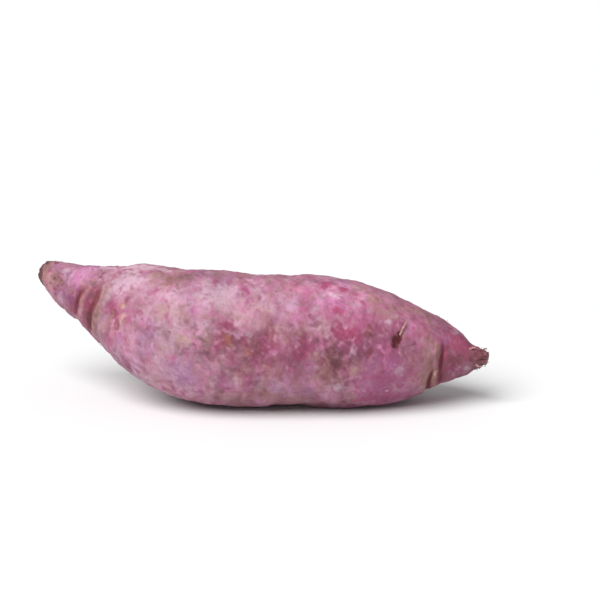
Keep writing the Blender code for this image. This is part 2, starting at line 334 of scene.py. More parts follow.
MAROON_FRONT = [
    Mark(86.2, 172, 1.6, 1.8, 0.8),
    Mark(77, 174, 3, 2.5, 0.6),
    Mark(40.8, 170, 1.6, 2.2, 0.9),
    Mark(-80.9, 152, 1.3, 2, 1),
    Mark(-80.7, 179, 0.9, 1.5, 0.6),
    Mark(-63, 157, 1.5, 3.6, 0.9),
    Mark(-63, 186, 1, 3, 0.7),
    Mark(-69.6, 168, 0.8, 3, 0.7),
    Mark(-51.5, 164, 1.6, 2.4, 0.9),
    Mark(-49.6, 174, 1.3, 2.4, 1),
    Mark(-49.5, 146, 0.7, 2.5, 0.8),
    Mark(-13.5, 164, 2.2, 3.6, 0.7),
    Mark(-3, 172, 2.4, 4.8, 0.7),
    Mark(3, 162, 1.6, 1.2, 0.8),
    Mark(39.5, 151, 2.2, 2.1, 0.8),
    Mark(27, 181, 5.6, 7.9, 0.5),
    Mark(-4, 210, 1.6, 2.3, 0.5),
    Mark(75, 164, 1.6, 1.4, 0.6),
    Mark(71, 217, 1.2, 2.9, 0.8),
    Mark(84.5, 160, 1.3, 1.7, 0.9),
    Mark(88, 159, 1.6, 1.8, 0.9),
]
PLUM_FRONT = [
    Mark(-72.8, 177, 1.4, 2.4, 1),
    Mark(-70.5, 158, 1, 1.6, 0.6),
    Mark(-64.5, 158, 1.2, 2.4, 0.8),
    Mark(-14, 151, 3.2, 1.8, 0.2),
    Mark(-86.2, 138, 1.2, 1.3, 0.9),
    Mark(-53, 190, 0.8, 3, 0.5),
]
VIOLET_FRONT = [
    Mark(-47.5, 191, 2, 3, 0.5),
    Mark(-76, 192, 2.2, 3.5, 0.6),
    Mark(-79.5, 128, 1.2, 1.4, 0.5),
    Mark(-57, 212, 1, 3, 0.5),
    Mark(-55, 178, 0.9, 1.5, 0.7),
    Mark(-40, 194, 1.8, 3.2, 0.5),
    Mark(-39, 180, 3.2, 6.9, 0.4),
    Mark(-28, 200, 6.4, 7.6, 0.7),
    Mark(17.5, 210, 3.2, 4.2, 0.6),
    Mark(43.5, 177, 3.6, 4.3, 0.4),
    Mark(48.5, 206, 4.4, 4.5, 0.7),
]
MIST_FRONT = [
    Mark(-72, 126, 13, 8, 1),
    Mark(-78, 176, 9, 12, 0.8),
    Mark(-31, 164, 9, 12, 0.9),
    Mark(-55, 197, 4, 7, 0.9),
    Mark(-52, 124, 9, 10, 0.9),
    Mark(-36, 136, 12, 12, 1),
    Mark(-18, 124, 9, 9, 1),
    Mark(-6, 135, 7, 9, 0.9),
    Mark(-34, 206, 17, 16, 1),
    Mark(28, 118, 8, 5, 0.5),
    Mark(34, 204, 6, 5, 0.5),
    Mark(58, 212, 8, 7, 0.7),
]
BLUSH_FRONT = [
    Mark(-63, 124, 4, 4, 0.9),
    Mark(26, 122, 11, 8, 1),
    Mark(20, 116, 16, 8, 1),
    Mark(38, 126, 10, 8, 0.9),
    Mark(24, 134, 9, 6, 1.2),
    Mark(47, 195, 9, 11, 0.9),
    Mark(46, 152, 9, 12, 1),
    Mark(54, 128, 7, 9, 0.9),
]
FLUSH_FRONT = [
    Mark(46, 217, 8, 6, 1.5),
    Mark(26, 132, 10, 6, 0.9),
    Mark(70, 146, 13, 14, 0.9),
    Mark(22, 112, 14, 4, 0.4),
    Mark(6, 172, 18, 7, 0.4),
    Mark(49, 190, 9, 15, 1.8),
    Mark(40, 155, 9, 8, 1.8),
    Mark(50, 165, 9, 12, 1.6),
    Mark(48, 196, 9, 12, 1.3),
    Mark(79, 150, 12, 14, 1),
    Mark(-50, 158, 6, 9, 0.5),
    Mark(-3, 178, 6, 8, 1.1),
    Mark(-72, 165, 7, 12, 0.8),
]
TAWNY_FRONT = [
    Mark(-54, 179, 4, 6, 0.7),
    Mark(-36, 142, 8, 7, 0.4),
    Mark(-20, 95, 5, 3, 0.8),
    Mark(62, 148, 7, 7, 0.8),
    Mark(6, 152, 9, 6, 0.8),
    Mark(-41, 107, 9, 6, 1),
    Mark(46, 114, 12, 6, 0.7),
    Mark(27, 183, 8, 12, 0.8),
    Mark(64, 182, 5, 14, 1),
    Mark(-59, 165, 3, 20, 0.9),
    Mark(-84, 168, 4, 6, 0.8),
    Mark(0, 224, 26, 8, 0.9),
    Mark(2, 148, 14, 6, 0.9),
    Mark(-4, 184, 7, 7, 0.8),
]
# Painted shade and darker tone: these marks darken the skin's colour. The one on the top at (-30, 100) is
# a painted cast shadow; the others darken it in patches.
PAINTED_SHADE_AND_DARKER_TONE_FRONT = [
    Mark(-33.5, 170, 6, 7, 0.8),
    Mark(-14.5, 167, 6, 7, 1.4),
    Mark(42, 155, 6, 6, 1.3),
    Mark(54, 152, 5, 5, 0.8),
    Mark(31, 170, 6, 6, 1.7),
    Mark(-31, 127, 3.5, 3.5, 0.8),
    # A painted cast shadow on the top.
    Mark(-30, 100, 5, 4, 1.5),
    Mark(78, 172, 4, 3, 0.7),
    Mark(5, 169, 3, 2.5, 0.8),
    Mark(-64.5, 165, 2.6, 9, 1),
    Mark(-59.5, 160, 3, 8, 1),
    Mark(-8, 168, 15, 7.5, 0.9),
    Mark(12, 164, 10, 7, 0.7),
    Mark(40, 170, 11, 7, 1),
    Mark(-76, 180, 5, 7, 0.6),
    Mark(54, 172, 5, 6, 0.6),
    Mark(80, 128, 6, 5, 0.6),
    Mark(53, 174, 5, 4.5, 1),
    Mark(-81, 152, 3.5, 4, 0.9),
    Mark(-72, 180, 3, 5, 0.8),
    Mark(70, 172, 4, 3, 0.6),
]
# Painted light and lighter tone: these marks lighten the skin's colour. Those along the top edge are a
# painted rim highlight, those under the lower left painted bounce light from the floor, and the others
# lighten it in patches.
PAINTED_LIGHT_AND_LIGHTER_TONE_FRONT = [
    Mark(54, 131, 6, 5, 1.4),
    # These three, along the top edge, are a painted rim highlight.
    Mark(-52, 88, 9, 4.5, 1.6),
    Mark(-43, 90, 5, 3.5, 1.6),
    Mark(-67, 90, 6, 3, 1.6),
    Mark(78, 132, 6, 4, 1),
    Mark(14, 126, 5, 5, 0.8),
    Mark(41, 140, 5, 4, 1.9),
    Mark(-50, 127, 5, 4, 0.6),
    Mark(-4, 205, 8, 6, 0.8),
    Mark(-4, 128, 7, 7, 1),
    Mark(-16, 142, 7, 8, 0.6),
    Mark(47, 134, 10, 6, 1),
    Mark(32, 131, 6, 5, 0.5),
    Mark(8, 187, 6, 5, 0.8),
    Mark(20, 174, 5, 5, 0.6),
    Mark(50, 200, 10, 6, 1),
    # These two, under the lower left, are painted bounce light from the floor.
    Mark(-34, 210, 11, 8.5, 0.9),
    Mark(-32, 215, 9, 8, 2.3),
    Mark(-79, 202, 4, 4, 1.2),
    Mark(30, 117, 9, 7, 2.3),
    Mark(16, 116, 9, 4, 0.5),
    Mark(-38, 138, 7, 7, 0.2),
]
SPECKLE_FRONT = [
    Mark(-66, 150, 6, 12, 1),
    Mark(-10, 172, 20, 12, 1),
    Mark(14, 172, 14, 12, 0.9),
    Mark(37, 170, 13, 14, 1),
    Mark(30, 190, 9, 12, 0.8),
    Mark(-77, 170, 12, 10, 1),
    Mark(-57, 160, 5, 12, 0.6),
    Mark(82, 160, 10, 14, 0.9),
    Mark(-4, 206, 24, 10, 0.4),
]
DARK_FRONT = [
    Mark(84, 169, 0.8, 1.2, 0.9),
    Mark(-86.4, 104, 1.2, 1.5, 1),
    Mark(-84.3, 146, 0.5, 0.7, 0.9),
    Mark(-82.8, 157, 0.5, 0.8, 0.9),
    Mark(-80.4, 170, 0.6, 0.6, 0.9),
    Mark(-83.4, 176, 0.4, 0.5, 0.8),
    Mark(-78.6, 160, 0.4, 0.5, 0.7),
    Mark(78.5, 160, 0.8, 0.8, 0.6),
    Mark(-81.2, 149, 0.4, 0.6, 0.8),
    Mark(-81, 181, 0.5, 0.6, 0.8),
    Mark(-52, 187, 0.8, 2.2, 0.5),
    Mark(-44, 171, 0.8, 2.8, 0.4),
    Mark(-32, 164, 0.7, 0.6, 0.7),
    Mark(-27, 176, 2.4, 0.7, 0.5),
    Mark(-24, 172, 1.2, 1, 0.5),
    Mark(-22.5, 166, 0.8, 1, 0.6),
    Mark(-36, 186, 0.8, 1.2, 0.5),
    Mark(-19, 182, 1.6, 1.6, 0.3),
    Mark(-17, 163, 1, 0.7, 0.6),
    Mark(-10.5, 164, 1, 0.7, 0.6),
    Mark(-3.5, 168, 0.8, 0.7, 0.6),
    Mark(-2.3, 177, 0.8, 0.8, 0.7),
    Mark(-7, 178, 1.4, 0.8, 0.6),
    Mark(-6.3, 188, 0.8, 0.7, 0.6),
    Mark(0.6, 182, 1.4, 0.8, 0.5),
    Mark(5.6, 174, 1.4, 0.8, 0.6),
    Mark(16.4, 169, 0.8, 1.6, 0.5),
    Mark(15, 174, 1, 0.8, 0.6),
    Mark(-15.5, 221, 1.4, 2.8, 0.6),
    Mark(0.6, 207, 1.2, 1.4, 0.5),
    Mark(21, 162, 0.8, 1.2, 0.6),
    Mark(29, 185, 1.2, 2.1, 0.6),
    Mark(32.5, 194, 1, 1.2, 0.7),
    Mark(34, 201, 1, 1.5, 0.6),
    Mark(47.5, 187, 0.8, 1.1, 0.7),
    Mark(59, 154, 0.8, 0.9, 0.6),
]

# The broad fields that call for more of a colour or a shade, the deep and light ones as painted
# shade and painted light mixed with darker and lighter tone: the mask's name, its marks on the
# side that shows, and the seed of its clouds elsewhere.
FIELDS = [
    ("mist", MIST_FRONT, 51),
    ("blush", BLUSH_FRONT, 55),
    ("flush", FLUSH_FRONT, 52),
    ("tawny", TAWNY_FRONT, 53),
    ("speckle", SPECKLE_FRONT, 54),
    ("deep", PAINTED_SHADE_AND_DARKER_TONE_FRONT, 56),
    ("light", PAINTED_LIGHT_AND_LIGHTER_TONE_FRONT, 57),
]
# The spots: the mask's name and its marks, then the seed, the number, and the ranges of the size
# and the strength of those at random on the sides that don't show.
SPOTS = [
    ("pale", BLOOM_AND_PAINTED_LIGHT_FRONT, 41, 34, (0.8, 6.5), (0.4, 0.9)),
    ("cream", CREAM_FRONT, 42, 14, (0.8, 5.0), (0.4, 0.8)),
    ("tan", TAN_FRONT, 43, 26, (0.7, 4.0), (0.4, 0.8)),
    ("olive", OLIVE_AND_PAINTED_SHADOW_FRONT, 48, 8, (1.5, 8.0), (0.3, 0.7)),
    ("rust", RUST_FRONT, 50, 12, (0.8, 2.0), (0.4, 0.8)),
    ("orchid", ORCHID_FRONT, 58, 12, (2.0, 6.0), (0.4, 0.8)),
    ("rose", ROSE_FRONT, 44, 34, (0.9, 6.0), (0.4, 0.9)),
    ("crimson", CRIMSON_FRONT, 59, 8, (0.9, 3.0), (0.4, 0.8)),
    ("maroon", MAROON_FRONT, 45, 22, (0.8, 4.5), (0.4, 0.8)),
    ("plum", PLUM_FRONT, 49, 16, (0.9, 3.0), (0.4, 0.8)),
    ("violet", VIOLET_FRONT, 46, 18, (1.5, 8.0), (0.4, 0.8)),
    ("dark", DARK_FRONT, 47, 60, (0.5, 1.8), (0.4, 0.8)),
]
SPOT_STATIONS = (-84, 84)  # the spots at random lie between these
SPOT_ANGLES = (258, 428)
WIDEST = 27  # the root's largest radius
FIELD_MIDDLE = 345  # the clouds of the fields lie about this angle
FIELD_REACH = 92
FIELD_FADE = 16
FIELD_SIZE = 26

# Ripples, each with its height, its size, its seed, and how stretched it is along x, y and z.
Ripple = namedtuple("Ripple", "height size seed stretch", defaults=[(1, 1, 1)])
WANDER = [Ripple(0.15, 9, 11)]
RAGGED = [Ripple(0.22, 3.4, 31), Ripple(0.16, 1.9, 32)]
BODY_RELIEF = [Ripple(0.20, 15, 14), Ripple(0.09, 6.5, 15)]
SKIN_RELIEF = [Ripple(0.045, 3.0, 16), Ripple(0.03, 1.7, 17)]
CREASED_RELIEF = [Ripple(0.05, 2.4, 18, (0.8, 3.5, 3.5))]
CROWN_RELIEF = [Ripple(0.12, 2.0, 19), Ripple(0.08, 1.2, 20)]
TAIL_RELIEF = [Ripple(0.09, 2.2, 21, (5, 1, 1))]
TORN_RELIEF = [Ripple(0.34, 1.2, 24, (3, 1, 1))]
CROWN_EDGE = [Ripple(0.8, 3, 12)]
RIM_EDGE = [Ripple(0.4, 2, 22)]
TAIL_EDGE = [Ripple(2.0, 5, 13)]
TORN_EDGE = [Ripple(1.5, 2.5, 23)]
CROWN_SUNK = 0.2  # how far the woody crown lies below the skin

# Bells along the root, as (middle, half width): where the skin wrinkles beside the creases, and
# where the stations crowd.
WRINKLED = [(-65, 10), (72, 8)]
CROWDED = [(-66, 9), (69, 6)]
CROWDING = 1.7  # how many more stations there are in the middle of such a bell

PORES = 230
PORE_SEED = 61
PORE_STATIONS = (-84, 86)
PORE_LENGTH = (0.7, 2.0)
PORE_WIDTH = (0.35, 0.6)
PORE_STRENGTH = (0.3, 1.0)
PORE_RIM = 0.16  # the height of a pore's rim and the depth of its slit
PORE_SLIT = 0.22

STATIONS = 380
SIDES = 260
CROWN_RINGS = 18
TAIL_RINGS = 12
FINE_STEPS = 4000


def smooth(value):
    """0 below 0, 1 above 1, and an S-shaped rise between."""
    value = np.clip(value, 0, 1)
    return value * value * (3 - 2 * value)


def unit(vector):
    """The vector or vectors at length 1."""
    return vector / np.linalg.norm(vector, axis=-1, keepdims=True)


def spline(knots, values):
    """Returns a function for the value and the slope of the natural cubic through the values."""
    knots, values = np.array(knots, float), np.array(values, float)
    gap, rise = np.diff(knots), np.diff(values)
    matrix, pull = np.eye(len(knots)), np.zeros(len(knots))
    for i in range(1, len(knots) - 1):
        matrix[i, i - 1 : i + 2] = gap[i - 1], 2 * (gap[i - 1] + gap[i]), gap[i]
        pull[i] = 6 * (rise[i] / gap[i] - rise[i - 1] / gap[i - 1])
    bend = np.linalg.solve(matrix, pull)

    def at(x):
        i = np.clip(np.searchsorted(knots, x) - 1, 0, len(gap) - 1)
        width, before, after = gap[i], x - knots[i], knots[i + 1] - x
        value = (
            (bend[i] * after**3 + bend[i + 1] * before**3) / (6 * width)
            + (values[i] / width - bend[i] * width / 6) * after
            + (values[i + 1] / width - bend[i + 1] * width / 6) * before
        )
        slope = (
            (bend[i + 1] * before**2 - bend[i] * after**2) / (2 * width)
            + rise[i] / width
            - (bend[i + 1] - bend[i]) * width / 6
        )
        return value, slope

    return at


CENTRE_Y, CENTRE_Z, RADIUS = (
    spline([row.x for row in BODY], [getattr(row, name) for row in BODY])
    for name in ("y", "z", "radius")
)


def frame_at(x):
    """The centre line's point, and the sideways and upward directions square to it, at x."""
    y, y_slope = CENTRE_Y(x)
    z, z_slope = CENTRE_Z(x)
    centre = np.stack([x, y, z - FLAT_CUT], axis=-1)
    along = unit(np.stack([np.ones_like(x), y_slope, z_slope], axis=-1))
    side = unit(np.stack([-along[..., 1], along[..., 0], np.zeros_like(x)], axis=-1))
    return centre, side, np.cross(along, side)


def turn_between(around, middle):
    """The signed angle from middle to around, taken the short way."""
    return (around - middle + 180) % 360 - 180


def bells(x, rows):
    """Bell curves along the root, added up."""
    return sum(np.exp(-(((x - middle) / half) ** 2)) for middle, half in rows)


def ripple(points, size, seed, stretch=(1, 1, 1), count=40):
    """Plane waves of random direction and phase, added up, with a spread of one. The hollows are
    about size apart, times stretch along each axis."""
    draw = np.random.default_rng(seed)
    direction = unit(draw.normal(size=(count, 3))) / np.array(stretch)
    pace = 2 * math.pi / (size * draw.uniform(0.7, 1.5, count))
    phase = draw.uniform(0, 2 * math.pi, count)
    return np.sin(points @ (direction * pace[:, None]).T + phase).sum(axis=-1) * math.sqrt(2 / count)


def ripples(points, rows):
    """Ripples, each times its height, added up."""
    return sum(row.height * ripple(points, row.size, row.seed, row.stretch) for row in rows)


def swells(x, around, radius):
    """Broad bumps and hollows, each a bell over the skin."""
    total = 0
    for row in SWELLS:
        along = (x - row.x) / row.length
        across = np.radians(turn_between(around, row.around)) * radius / row.width
        total = total + row.height * np.exp(-(along**2) - across**2)
    return total


def creases(x, around, wander):
    """Pinches along part of a ring, each with a roll of skin on the side of the body. Returns the
    height they add, how deep in a crease each point is, how stained, which reaches further on the
    side away from the body, and how far up on the roll. wander makes the lines stray."""
    height, groove, stain, ridge = 0, 0, 0, 0
    for row in CREASES:
        middle, half = (row.start + row.end) / 2, (row.end - row.start) / 2
        turn = turn_between(around, middle) / half
        inside = (1 - np.abs(turn)) * half
        shown = smooth(inside / CREASE_FADE)
        seen = smooth(inside / STAIN_FADE) * min(row.depth, 1)
        line = (row.x0 + row.x1) / 2 + (row.x1 - row.x0) / 2 * turn + row.bow * (1 - turn**2)
        off = (x + wander - line) / row.half_width
        bodyward = math.copysign(1, -row.x0)
        pinch = np.exp(-(off**2))
        roll = ROLL_SHARE * np.exp(-((off - ROLL_AWAY * bodyward) ** 2))
        slit = SLIT_SHARE * np.exp(-((off / SLIT_WIDTH) ** 2))
        height = height - row.depth * shown * (pinch - roll + slit)
        groove = np.maximum(groove, seen * pinch)
        reach = np.where(off * bodyward < 0, STAIN_OUTWARD, STAIN_BODYWARD)
        stain = np.maximum(stain, seen * np.exp(-((off / reach) ** 2)))
        uphill = (off - PALE_ROLL_AWAY * bodyward) / PALE_ROLL_WIDTH
        ridge = np.maximum(ridge, seen * np.exp(-(uphill**2)))
    return height, groove, stain, ridge


def pits(x, around, radius, ragged=0.0):
    """Pits with a low rim. Returns the height they add and how deep in a pit each point is. ragged
    makes their outlines stray."""
    height, inside = 0, 0
    for row in PITS:
        across = np.radians(turn_between(around, row.around)) * radius
        away = np.hypot((x - row.x) / row.length, across / row.height) + ragged
        bell = np.exp(-(away**2))
        height = height - row.depth * (1 - 0.35 * away**2) * bell
        inside = np.maximum(inside, bell * min(row.depth, 1))
    return height, inside


def marks(rows, x, around, radius, ragged):
    """Soft spots with ragged edges: the smooth step of how far a point is inside each spot's
    ellipse, full up to 0.3 of its size and gone past 1.6 times it. The strongest one counts."""
    cover = np.zeros_like(radius * around)
    for row in rows:
        across = np.radians(turn_between(around, row.around)) * radius
        away = np.hypot((x - row.x) / row.length, across / row.height)
        cover = np.maximum(cover, row.strength * smooth((1.6 - away + ragged) / 1.3))
    return cover


def scattered(seed, count, size, strength):
    """Marks at random on the sides that don't show, about evenly over the skin: a station is
    drawn again where the root is too thin for the draw that goes with it."""
    draw = np.random.default_rng(seed)
    rows = []
    while len(rows) < count:
        x = draw.uniform(*SPOT_STATIONS)
        if draw.uniform() * WIDEST > RADIUS(np.array([x]))[0][0]:
            continue
        length, height = draw.uniform(*size, 2)
        rows.append(Mark(x, draw.uniform(*SPOT_ANGLES), length, height, draw.uniform(*strength)))
    return rows


def pores(x, around, radius):
    """Corky pores: short slits across the root, each in a low rim. Returns the height they add and
    the cover of their rims."""
    draw = np.random.default_rng(PORE_SEED)
    height, cover = np.zeros_like(x * around), np.zeros_like(x * around)
    for _ in range(PORES):
        middle, turned = draw.uniform(*PORE_STATIONS), draw.uniform(0, 360)
        long, wide = draw.uniform(*PORE_LENGTH), draw.uniform(*PORE_WIDTH)
        across = np.radians(turn_between(around, turned)) * radius / long
        along = (x - middle) / wide
        rim = np.exp(-(along**2) - across**2)
        slit = np.exp(-((along / 0.45) ** 2) - (across / 0.8) ** 2)
        strength = draw.uniform(*PORE_STRENGTH)
        height = height + strength * (PORE_RIM * rim - PORE_SLIT * slit)
        cover = np.maximum(cover, strength * rim)
    return height, cover


def end_profile(rows, steps):
    """The distance in from an end and the share of the radius, on a smooth curve through rows."""
    at = np.arange(len(rows), dtype=float)
    step = np.linspace(0, len(rows) - 1, steps)
    distance = spline(at, [row[0] for row in rows])(step)[0]
    share = spline(at, [row[1] for row in rows])(step)[0]
    return distance, np.clip(share, 0, 1)


def station_list():
    """The stations along the root, with the share of the radius at each, closer together where
    the creases are."""
    first, last = BODY[0].x, BODY[-1].x
    crown, crown_share = end_profile(CROWN_END, CROWN_RINGS)
    tail, tail_share = end_profile(TAIL_END, TAIL_RINGS)
    fine = np.linspace(first + crown[-1], last - tail[0], FINE_STEPS)
    density = 1 + CROWDING * bells(fine, CROWDED)
    reached = np.concatenate([[0], np.cumsum((density[1:] + density[:-1]) / 2)])
    between = STATIONS - CROWN_RINGS - TAIL_RINGS
    body = np.interp(np.linspace(0, reached[-1], between + 2)[1:-1], reached, fine)
    x = np.concatenate([first + crown, body, last - tail])
    return x, np.concatenate([crown_share, np.ones(between), tail_share])


def plain_point(x, around, share, height=0.0):
    """Points of the root, at share of the radius plus height from the centre line. The section is
    a little oval and a little three-sided, and both turn slowly along the root."""
    centre, side, up = frame_at(x)
    angle = np.radians(around)
    radius = RADIUS(x)[0]
    oval = OVAL * np.cos(2 * angle + 0.030 * x) + LOBED * np.cos(3 * angle - 0.024 * x + 1.0)
    reach = ((radius * (1 + oval) + height) * share)[..., None]
    turned = np.cos(angle)[..., None] * side * DEPTH_OVER_HEIGHT + np.sin(angle)[..., None] * up
    return centre + reach * turned


def on_table(points):
    """The points with none below the table."""
    points = points.copy()
    points[..., 2] = np.maximum(points[..., 2], 0)
    return points


def solid_share(radius):
    """How far the swells, creases and pits show: not at all up to a radius of 2, fully from 8."""
    return np.clip((radius - 2) / 6, 0, 1)


def end_masks(x, around, plain):
    """The covers of the woody crown, its dark rim, the tail and its torn end. Each rises from 0
    to 1 past its start, which strays by ripples. The rim's width also follows a cosine round the
    root, less a bell where it is worn away."""
    crown = smooth((CROWN_START - x + ripples(plain, CROWN_EDGE)) / CROWN_FADE)
    slant = RIM_SLANT * np.cos(np.radians(around - RIM_WIDEST))
    worn = RIM_WORN * np.exp(-((turn_between(around, RIM_WORN_AT) / RIM_WORN_REACH) ** 2))
    rim = smooth((RIM_START - x + slant - worn + ripples(plain, RIM_EDGE)) / RIM_FADE)
    tail = smooth((x - TAIL_START + ripples(plain, TAIL_EDGE)) / TAIL_FADE)
    torn = smooth((x - TORN_START + ripples(plain, TORN_EDGE)) / TORN_FADE)
    return {"crown": crown, "rim": rim, "tail": tail, "torn": torn}


def colour_masks(x, around, radius, plain, ragged):
    """The covers of the broad fields and of the spots: as the tables have them on the side that
    shows, and at random elsewhere."""
    unseen = smooth((FIELD_REACH - np.abs(turn_between(around, FIELD_MIDDLE))) / FIELD_FADE)
    masks = {}
    for label, rows, seed in FIELDS:
        clouds = unseen * smooth(0.45 + 0.6 * ripple(plain, FIELD_SIZE, seed))
        masks[label] = np.maximum(marks(rows, x, around, radius, 2 * ragged), clouds)
    for label, rows, *elsewhere in SPOTS:
        masks[label] = marks(rows + scattered(*elsewhere), x, around, radius, ragged)
    return masks


def skin_surface():
    """The skin's grid of points and its masks.

    Each point stands out from the centre line by the radius there, plus the broad swells, the
    creases, the pits, the pores and the fine relief."""
    stations, shares = station_list()
    angles = np.arange(SIDES) * 360 / SIDES
    x, around = np.broadcast_arrays(stations[:, None], angles[None, :])
    share = np.broadcast_to(shares[:, None], x.shape)
    radius = RADIUS(x)[0]
    plain = plain_point(x, around, share)

    ragged = ripples(plain, RAGGED)
    crease_height, groove, stain, ridge = creases(x, around, ripples(plain, WANDER))
    pit_height, pit = pits(x, around, radius, 0.6 * ragged)
    pore_height, pore = pores(x, around, radius)
    ends = end_masks(x, around, plain)

    height = swells(x, around, radius) + crease_height + pit_height + pore_height
    height = solid_share(radius) * (height + ripples(plain, BODY_RELIEF))
    height = height + ripples(plain, SKIN_RELIEF)
    height = height + bells(x, WRINKLED) * ripples(plain, CREASED_RELIEF)
    height = height + ends["crown"] * (ripples(plain, CROWN_RELIEF) - CROWN_SUNK)
    height = height + ends["tail"] * ripples(plain, TAIL_RELIEF)
    height = height + ends["torn"] * ripples(plain, TORN_RELIEF)
    points = on_table(plain_point(x, around, share, height))

    masks = colour_masks(x, around, radius, plain, ragged)
    masks.update(ends, groove=groove, stain=stain, ridge=ridge, pit=pit, pore=pore)
    return points, masks


def listed(values):
    """A grid's values as one list, with a single one for its first and for its last ring."""
    return np.concatenate([values[0, :1], values[1:-1].reshape(-1, *values.shape[2:]), values[-1, :1]])


def ring_faces(rings, sides, start):
    """The faces of a closed surface of rings, of which the first and the last are single points.
    start is the number of its first point."""
    ring, side = np.meshgrid(np.arange(rings - 3), np.arange(sides), indexing="ij")
    after = (side + 1) % sides
    first, last = start + 1, start + 1 + (rings - 3) * sides
    corner = first + ring * sides
    quads = np.stack([corner + side, corner + after, corner + sides + after, corner + sides + side], -1)
    turn = np.arange(sides)
    onward = (turn + 1) % sides
    first_fan = np.stack([np.full(sides, start), first + onward, first + turn], -1)
    last_fan = np.stack([last + turn, last + onward, np.full(sides, last + sides)], -1)
    return quads.reshape(-1, 4).tolist() + first_fan.tolist() + last_fan.tolist()


def put_mask(piece, label, grids):
    """Puts a mask on a piece, from its values on each of the piece's grids."""
    layer = piece.data.attributes.new(label, "FLOAT", "POINT")
    values = np.concatenate([listed(grid) for grid in grids])
    layer.data.foreach_set("value", values.astype(np.float32))


def new_piece(name, grids, material):
    """One object of closed surfaces, each a grid of rings of points in mm. It rides on the root."""
    points, faces = np.zeros((0, 3)), []
    for grid in grids:
        faces += ring_faces(*grid.shape[:2], len(points))
        points = np.concatenate([points, listed(grid)])
    mesh = bpy.data.meshes.new(name)
    mesh.from_pydata(points * MM, [], faces)
    mesh.shade_smooth()
    mesh.materials.append(material)
    made = bpy.data.objects.new(name, mesh)
    bpy.context.scene.collection.objects.link(made)
    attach(made, "root")
    return made


def to_place(points):
    """How far the root's own frame is from the CAD node's, so that the two boxes' middles meet."""
    low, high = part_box("tuber")
    middle = (np.array(low) + np.array(high)) / 2 / MM
    own = (points.min(axis=(0, 1)) + points.max(axis=(0, 1))) / 2
    return np.array([middle[0] - own[0], middle[1] - own[1], 0.0])


class Paint:
    """One value of a material. It wraps a socket, so that the shader's maths reads as Python."""

    def __init__(self, tree, socket):
        self.tree = tree
        self.socket = socket

    def add(self, kind, settings, inputs, output=0):
        """Adds a node: its settings first, then the values or links of its inputs."""
        made = self.tree.nodes.new(kind)
        for name, value in settings.items():
            setattr(made, name, value)
        for key, value in inputs.items():
            if isinstance(value, Paint):
                self.tree.links.new(value.socket, made.inputs[key])
            else:
                made.inputs[key].default_value = value
        return Paint(self.tree, made.outputs[output])

    def feed(self, entry):
        """Links this value to an entry of the shader."""
        self.tree.links.new(self.socket, entry)

    def maths(self, operation, first, second):
        """A sum, difference or product of two values."""
        return self.add("ShaderNodeMath", {"operation": operation}, {0: first, 1: second})

    def __add__(self, other):
        return self.maths("ADD", self, other)

    def __sub__(self, other):
        return self.maths("SUBTRACT", self, other)

    def __rsub__(self, other):
        return self.maths("SUBTRACT", other, self)

    def __mul__(self, other):
        return self.maths("MULTIPLY", self, other)

    __radd__ = __add__
    __rmul__ = __mul__

    def rise(self, low, high):
        """0 below low, 1 above high, and an S-shaped rise between."""
        settings = {"interpolation_type": "SMOOTHSTEP"}
        return self.add("ShaderNodeMapRange", settings, {0: self, 1: low, 2: high})

    def scaled(self, by):
        """A vector times another, axis by axis."""
        return self.add("ShaderNodeVectorMath", {"operation": "MULTIPLY"}, {0: self, 1: by})

    def moved(self, by):
        """A vector plus another."""
        return self.add("ShaderNodeVectorMath", {"operation": "ADD"}, {0: self, 1: by})

    def noise(self, size, seed, stretch=(1, 1, 1), detail=2.0):
        """Cloudy noise with its middle at 0, from this vector in mm. size is its cloud, in mm, and
        seed moves it to a place of its own."""
        squeezed = self.scaled([1 / (size * s) for s in stretch])
        squeezed = squeezed.moved([seed * step for step in NOISE_STEP])
        inputs = {"Vector": squeezed, "Scale": 1.0, "Detail": detail, "Roughness": 0.5}
        return self.add("ShaderNodeTexNoise", {}, inputs) - 0.5

    def mask(self, label):
        """A mask that rides on the mesh."""
        return self.add("ShaderNodeAttribute", {"attribute_name": label}, {}, "Fac")

    def dimmed(self, by):
        """A colour made darker or lighter."""
        return self.add("ShaderNodeVectorMath", {"operation": "SCALE"}, {0: self, "Scale": by})

    def over(self, below, colour):
        """The colour laid over the one below, with this value as its cover."""
        settings = {"data_type": "RGBA", "clamp_factor": True}
        return self.add("ShaderNodeMix", settings, {0: self, 6: below, 7: colour}, 2)


def rgb(red, green, blue):
    return (red, green, blue, 1.0)


BASE = rgb(0.325, 0.136, 0.202)
LILAC = rgb(0.340, 0.166, 0.290)
PINK = rgb(0.43, 0.155, 0.265)
MAGENTA = rgb(0.29, 0.055, 0.145)
TAWNY = rgb(0.30, 0.145, 0.140)
BLEACHED = rgb(0.44, 0.283, 0.343)
SHADED = rgb(0.20, 0.058, 0.090)
# The pale bloom's colour, also used for the painted rim highlight and painted bounce light.
BLOOM_AND_PAINTED_LIGHT = rgb(0.42, 0.275, 0.34)
CREAM = rgb(0.38, 0.235, 0.205)
CORK = rgb(0.25, 0.125, 0.118)
RIDGE = rgb(0.31, 0.148, 0.128)
ROSE = rgb(0.245, 0.036, 0.092)
CRIMSON = rgb(0.35, 0.078, 0.145)
MAROON = rgb(0.18, 0.040, 0.058)
VIOLET = rgb(0.25, 0.110, 0.225)
ORCHID = rgb(0.40, 0.160, 0.320)
RUST = rgb(0.30, 0.090, 0.070)
PLUM = rgb(0.20, 0.050, 0.130)
STAIN = rgb(0.13, 0.035, 0.060)
